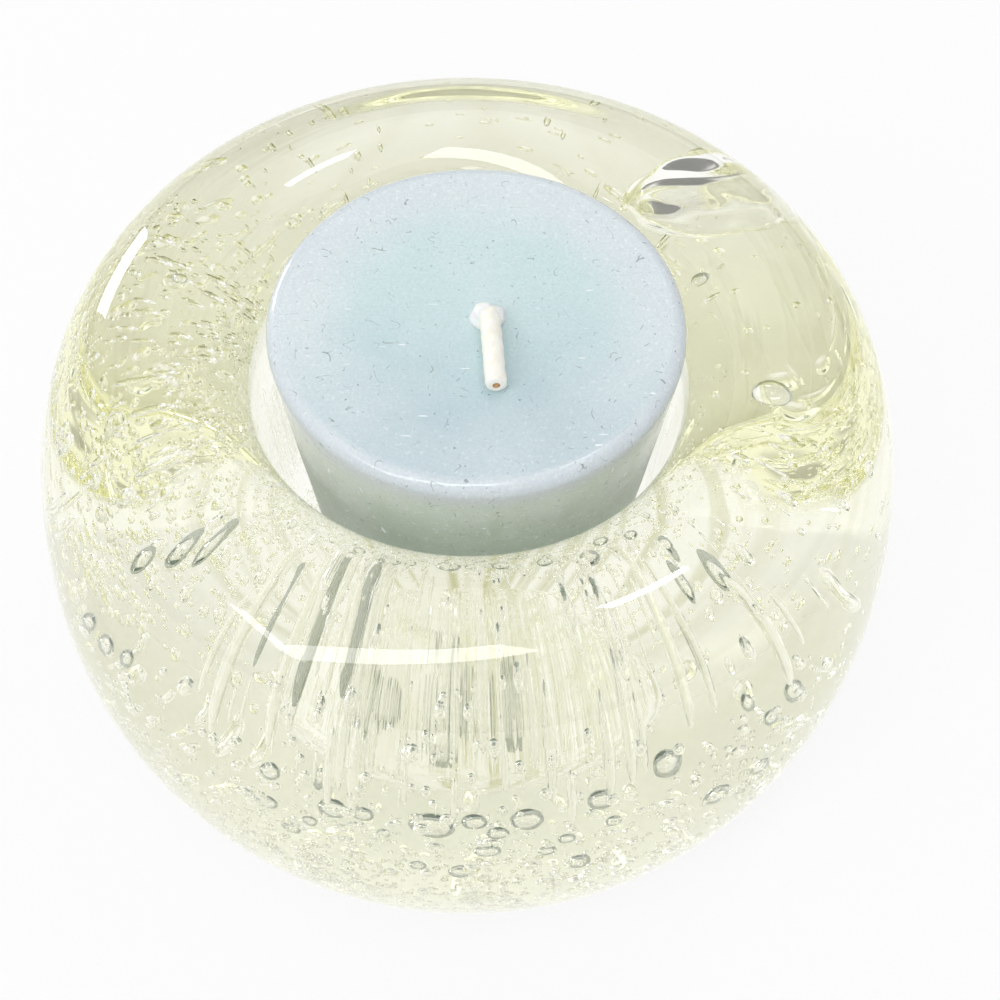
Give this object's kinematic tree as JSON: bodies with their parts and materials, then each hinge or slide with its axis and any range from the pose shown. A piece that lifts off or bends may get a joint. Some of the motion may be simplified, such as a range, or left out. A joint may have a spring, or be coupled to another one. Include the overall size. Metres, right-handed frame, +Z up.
{
  "type": "votive candle holder",
  "caption": "Heavy ball-shaped clear tinted glass candle holder with a recess in its flattened top, holding a small bare wax candle with a wick.",
  "frame": {"origin": "middle of the glass foot, on the table", "axes": "+Z up along the glass body's axis, -Y towards the side that the lying wick points to"},
  "size_m": [0.0834, 0.0834, 0.0626],
  "materials": {
    "glass": "clear solid glass with an olive tint and seed bubbles",
    "wax": "pale blue candle wax, satin",
    "tin": "tin plate",
    "cotton": "waxed braided cotton",
    "wick_core": "brown paper core"
  },
  "bodies": {
    "glass": {"glass_body": "glass"},
    "candle": {"candle_wax": "wax", "wick_sustainer": "tin", "wick_stem": "cotton", "wick_stem_core": "wick_core"},
    "wick_end": {"wick_tip": "cotton", "wick_tip_core": "wick_core"}
  },
  "joints": [
    {"name": "candle_lift", "type": "slide", "parent": "glass", "child": "candle", "axis": [0, 0, 1], "range_m": [0, 0.042]},
    {"name": "wick_bend", "type": "hinge", "parent": "candle", "child": "wick_end", "pos_m": [0.0018, -0.0006, 0.0616], "axis": [-0.9976, -0.0698, 0], "range_deg": [0, 90]}
  ]
}
